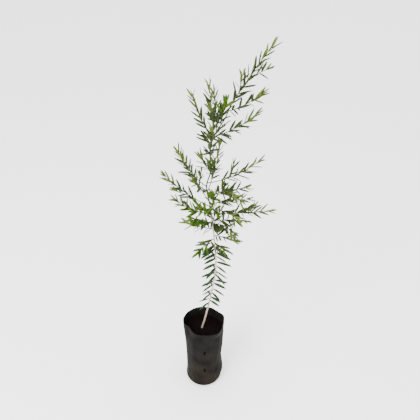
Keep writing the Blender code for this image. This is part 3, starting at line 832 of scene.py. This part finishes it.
def leaf_finish(kind):
    """Leaf green that shifts from leaf to leaf and along each blade."""
    finish, tree, shader, place = new_finish("leaf_" + kind, roughness=0.5, shine=0.08)
    drift = noise_node(tree, place, scale=55, detail=3.0)
    tree.links.new(ramp_node(tree, drift, LEAF_COLOURS[kind]), shader.inputs["Base Color"])
    veins = noise_node(tree, place, scale=1500, detail=2.0)
    add_bump(tree, shader, veins, strength=0.2, distance=0.0003)
    return finish


# Bag and soil


def fold(azimuth, height):
    """How far the film stands out at that place, by its broad folds."""
    return sum(
        depth * bump(angle_between(azimuth, at), 2 * width) * bump(height - level, 2 * tall)
        for at, level, width, tall, depth in BAG_FOLDS
    )


def crease(azimuth, height, around, up, start, lean_x, lean_y):
    """A pattern that comes that often round the bag and up it, and leans as it goes up."""
    turn = math.radians(azimuth)
    x = math.cos(turn) * around + height * lean_x
    y = math.sin(turn) * around + height * lean_y
    return noise.noise(Vector((x, y, height * up + start)))


def wrinkle(azimuth, height):
    """How far the film's small creases stand out: upright, slanting and fine ones."""
    upright = crease(azimuth, height, *UPRIGHT_CREASES)
    slant = abs(crease(azimuth, height, *SLANT_CREASES))
    fine = crease(azimuth, height, *FINE_CREASES)
    return CREASE_DEPTH * (upright - SLANT_SHARE * slant + FINE_SHARE * fine)


def bag_point(azimuth, height, inset=0.0):
    """A point of the film's outer face, or of a face that lies that far inside it."""
    share = height / BAG_HEIGHT
    radius = BAG_RADIUS + BAG_FLARE * share**4
    if height < BAG_CORNER:
        corner = BAG_CORNER - inset
        drop = min(1.0, (BAG_CORNER - height) / corner)
        radius -= corner * (1 - math.sqrt(1 - drop * drop))
    else:
        settle = min(1.0, (height - BAG_CORNER) / BAG_CORNER)
        radius += (fold(azimuth, height) + wrinkle(azimuth, height)) * settle
    radius -= inset
    turn = math.radians(azimuth)
    return Vector((radius * math.cos(turn), radius * math.sin(turn), height))


def bag_levels():
    """Heights of the rings from the underside up, close together at the round corner."""
    corner = [
        BAG_CORNER - BAG_CORNER * math.cos(math.radians(90 * i / CORNER_STEPS))
        for i in range(CORNER_STEPS)
    ]
    return corner + [mix(BAG_CORNER, BAG_HEIGHT, i / BAG_LEVELS) for i in range(BAG_LEVELS + 1)]


def rim_height(azimuth):
    """How far the film's cut edge stands up, in two waves round the bag and three smaller ones."""
    turn = math.radians(azimuth)
    return RIM_WAVE * (math.sin(2 * turn + RIM_WAVE_START) + RIM_SMALL_WAVES * math.cos(3 * turn))


def oval_bar(azimuth, height):
    """A short bar with an oval section that goes through the film at that place."""
    centre = bag_point(azimuth, height)
    out = Vector((centre.x, centre.y, 0)).normalized()
    side = Vector((-out.y, out.x, 0))
    verts = []
    for reach in (-HOLE_REACH, HOLE_REACH):
        for i in range(HOLE_SIDES):
            turn = 2 * math.pi * i / HOLE_SIDES
            across = side * (HOLE_HALF_WIDTH * math.cos(turn))
            along = Vector((0, 0, HOLE_HALF_HEIGHT * math.sin(turn)))
            verts.append(centre + out * reach + across + along)
    faces = ring_faces(2, HOLE_SIDES)
    faces.append(tuple(reversed(range(HOLE_SIDES))))
    faces.append(tuple(HOLE_SIDES + i for i in range(HOLE_SIDES)))
    return verts, faces


def punch_holes(bag):
    """Cuts the drain holes out of the film."""
    bars = [oval_bar(azimuth, height) for height in HOLE_HEIGHTS for azimuth in HOLE_AZIMUTHS]
    verts, faces = gather(bars)
    mesh = bpy.data.meshes.new("hole_cutter")
    mesh.from_pydata([tuple(v) for v in verts], [], faces)
    cutter = bpy.data.objects.new("hole_cutter", mesh)
    bpy.context.scene.collection.objects.link(cutter)
    holes = bag.modifiers.new("holes", "BOOLEAN")
    holes.operation = "DIFFERENCE"
    holes.object = cutter
    graph = bpy.context.evaluated_depsgraph_get()
    punched = bpy.data.meshes.new_from_object(bag.evaluated_get(graph))
    bag.modifiers.clear()
    bag.data = punched
    bpy.data.objects.remove(cutter)


def film_wall(level, inset):
    """One ring of the film's outer face, or of its inner face, which lies the inset inside it."""
    rim = bump(level - BAG_HEIGHT, RIM_REACH)
    ring = []
    for i in range(BAG_SIDES):
        azimuth = 360 * i / BAG_SIDES
        lift = Vector((0, 0, rim_height(azimuth) * rim))
        ring.append(bag_point(azimuth, max(level, inset), inset) + lift)
    return ring


def build_bag():
    """The film with its folds and creases, punched and open at the top."""
    levels = bag_levels()
    walls = []
    for inset in (0.0, BAG_FILM):
        for level in levels:
            walls += film_wall(level, inset)
    outer = ring_faces(len(levels), BAG_SIDES)
    first = len(levels) * BAG_SIDES
    inner = [tuple(first + index for index in reversed(face)) for face in outer]
    last = first - BAG_SIDES
    edge = []
    for i in range(BAG_SIDES):
        here, after = last + i, last + (i + 1) % BAG_SIDES
        edge.append((here, after, first + after, first + here))
    floor = [tuple(reversed(range(BAG_SIDES))), tuple(first + i for i in range(BAG_SIDES))]
    faces = outer + inner + edge + floor
    bag = add_piece("bag_film", walls, faces, film_finish(), "bag_film", ["grow_bag"])
    punch_holes(bag)


def soil_height(x, y, share):
    """The lumpy top of the soil, level round the trunk's foot and lower at its edge."""
    lump = sum(
        part * noise.noise(Vector((x * often, y * often, start))) for often, start, part in SOIL_LUMPS
    )
    return SOIL_TOP + SOIL_LUMP * (lump * min(1.0, share / LEVEL_SHARE) - EDGE_DIP * share)


def build_soil():
    """The soil as one closed body with a rough top, and crumbs lying on it."""
    foot = Vector((TRUNK_BENDS[0][1], TRUNK_BENDS[0][2], SOIL_TOP))
    azimuths = [360 * i / BAG_SIDES for i in range(BAG_SIDES)]
    verts = [bag_point(azimuth, level, SOIL_INSET) for level in SOIL_LEVELS for azimuth in azimuths]
    for ring in range(SOIL_RINGS):
        share = 1 - ring / SOIL_RINGS
        for azimuth in azimuths:
            spot = foot.lerp(bag_point(azimuth, SOIL_EDGE, SOIL_INSET), share)
            spot.z = soil_height(spot.x, spot.y, share)
            verts.append(spot)
    faces = ring_faces(len(SOIL_LEVELS) + SOIL_RINGS, BAG_SIDES)
    faces.append(tuple(reversed(range(BAG_SIDES))))
    last, middle = len(verts) - BAG_SIDES, len(verts)
    verts.append(foot)
    for i in range(BAG_SIDES):
        faces.append((middle, last + i, last + (i + 1) % BAG_SIDES))
    finish = soil_finish()
    add_piece("soil_body", verts, faces, finish, "soil", ["soil"])
    add_piece("soil_crumbs", *gather(soil_crumbs(foot)), finish, "soil")


def soil_crumbs(foot):
    """Small rough lumps, half sunk in the top of the soil."""
    rng = random.Random(SEED)
    crumbs = []
    for _ in range(CRUMBS):
        share = math.sqrt(rng.uniform(*CRUMB_SPREAD))
        edge = bag_point(rng.uniform(0, 360), SOIL_EDGE, SOIL_INSET)
        spot = foot.lerp(edge, share)
        size = mix(*CRUMB_SIZES, rng.random() ** 3)
        spot.z = soil_height(spot.x, spot.y, share) + size * CRUMB_RISE
        verts = []
        for x, y, z in CRUMB_CORNERS:
            x *= rng.uniform(*CRUMB_WIDTHS)
            y *= rng.uniform(*CRUMB_WIDTHS)
            z *= rng.uniform(*CRUMB_HEIGHTS)
            verts.append(spot + Vector((x, y, z)) * size)
        crumbs.append((verts, CRUMB_FACES))
    return crumbs


# The plant


def trunk_stations(trunk):
    """Where the trunk's rings sit, the lowest ones level on the soil."""
    stations = []
    for before, centre, after in zip([trunk[0], *trunk], trunk, [*trunk[1:], trunk[-1]]):
        heading = (after - before).normalized()
        level = bump(centre.z - TRUNK_FOOT, LEVEL_FOOT)
        heading = heading.lerp(Vector((0, 0, 1)), level).normalized()
        stations.append((centre, heading, trunk_radius(centre.z)))
    return stations


def limbs_to_miss(trunk, masses):
    """The trunk and the bare boughs, each as its segments and a radius."""
    limbs = [(segments_of(trunk), TRUNK_RADIUS)]
    for mass in masses.values():
        if mass["bare"]:
            places = [mass["bare"] * i / BARE_STEPS for i in range(BARE_STEPS + 1)]
            stretch = [place_on(mass["path"], place)[0] for place in places]
            limbs.append((segments_of(stretch), LIMB_RADIUS))
    return limbs


def build_twigs(masses):
    """The bare boughs and the twigs that carry the leaves, as one piece."""
    twigs = []
    for mass in masses.values():
        for twig in mass["twigs"]:
            length = path_length(twig["path"])
            stations = stations_on(twig["path"], 0, length, length)
            twigs.append(tube(stations, LIMB_SIDES, BARK_RELIEF / 2))
    boughs = ["bough_" + name for name, mass in masses.items() if mass["bare"]]
    add_piece("twigs", *gather(twigs), twig_finish(), "bark", boughs)


def build_leaves(trunk, masses):
    """Every leaf, as one piece for each kind."""
    leaves = {kind: [] for kind in LEAF_COLOURS}
    limbs = limbs_to_miss(trunk, masses)
    for name, mass in masses.items():
        others = [
            twig["path"]
            for other, neighbour in masses.items()
            if other != name
            for twig in neighbour["twigs"]
        ]
        grow_mass(mass, joined_segments(others), limbs, leaves)
    leaves["dark"] += low_leaves(trunk)
    for order, tuft in enumerate(TUFTS.values(), start=len(LOW_TUFTS)):
        leaves["dark"] += upper_tuft(trunk, *tuft, random.Random(SEED * 7 + order))
    shoots = ["shoot_" + name for name in masses]
    tufts = ["tuft_" + name for name in (*LOW_TUFTS, *TUFTS)]
    stands_for = {"mature": shoots, "young": (), "bright": (), "dark": tufts}
    for kind, blades in leaves.items():
        add_piece("leaves_" + kind, *gather(blades), leaf_finish(kind), "foliage", stands_for[kind])


def build_plant():
    """The trunk, the twigs and every leaf."""
    trunk = trunk_path()
    bark = tube(trunk_stations(trunk), TRUNK_SIDES, BARK_RELIEF)
    add_piece("trunk_bark", *bark, bark_finish(), "bark", ["trunk"])
    masses = plan_masses(trunk)
    build_twigs(masses)
    build_leaves(trunk, masses)


# Stage


def add_lamp(name, spot, size, power):
    """A square lamp that shines on the plant."""
    lamp = bpy.data.lights.new(name, "AREA")
    lamp.size = size
    lamp.energy = power
    light = bpy.data.objects.new(name, lamp)
    light.location = spot
    light.rotation_euler = (Vector(LAMPS_AIM) - Vector(spot)).to_track_quat("-Z", "Y").to_euler()
    bpy.context.scene.collection.objects.link(light)


def build_floor():
    """A wide pale floor under the bag."""
    mesh = bpy.data.meshes.new("floor")
    corners = [(-1, -1), (1, -1), (1, 1), (-1, 1)]
    mesh.from_pydata([(x * FLOOR_REACH, y * FLOOR_REACH, 0) for x, y in corners], [], [(0, 1, 2, 3)])
    pale = bpy.data.materials.new("pale_floor")
    pale.use_nodes = True
    shader = pale.node_tree.nodes["Principled BSDF"]
    shader.inputs["Base Color"].default_value = (*FLOOR_COLOUR, 1)
    shader.inputs["Roughness"].default_value = FLOOR_ROUGHNESS
    mesh.materials.append(pale)
    floor = bpy.data.objects.new("floor", mesh)
    bpy.context.scene.collection.objects.link(floor)


def build_sky():
    """Even white light from all round."""
    world = bpy.data.worlds.new("studio")
    world.use_nodes = True
    sky = world.node_tree.nodes["Background"]
    sky.inputs["Color"].default_value = (*SKY_COLOUR, 1)
    sky.inputs["Strength"].default_value = SKY_STRENGTH
    bpy.context.scene.world = world


def build_camera():
    """The camera, at the photograph's place and angle."""
    camera = bpy.data.cameras.new("camera")
    camera.sensor_width = CAMERA_SENSOR
    camera.lens = CAMERA_LENS
    viewer = bpy.data.objects.new("camera", camera)
    viewer.location = CAMERA_SPOT
    viewer.rotation_euler = (math.radians(90 - CAMERA_DIP), 0, 0)
    bpy.context.scene.collection.objects.link(viewer)
    bpy.context.scene.camera = viewer


build_bag()
build_soil()
build_plant()
build_floor()
build_sky()
for name, (spot, size, power) in LAMPS.items():
    add_lamp(name, spot, size, power)
build_camera()
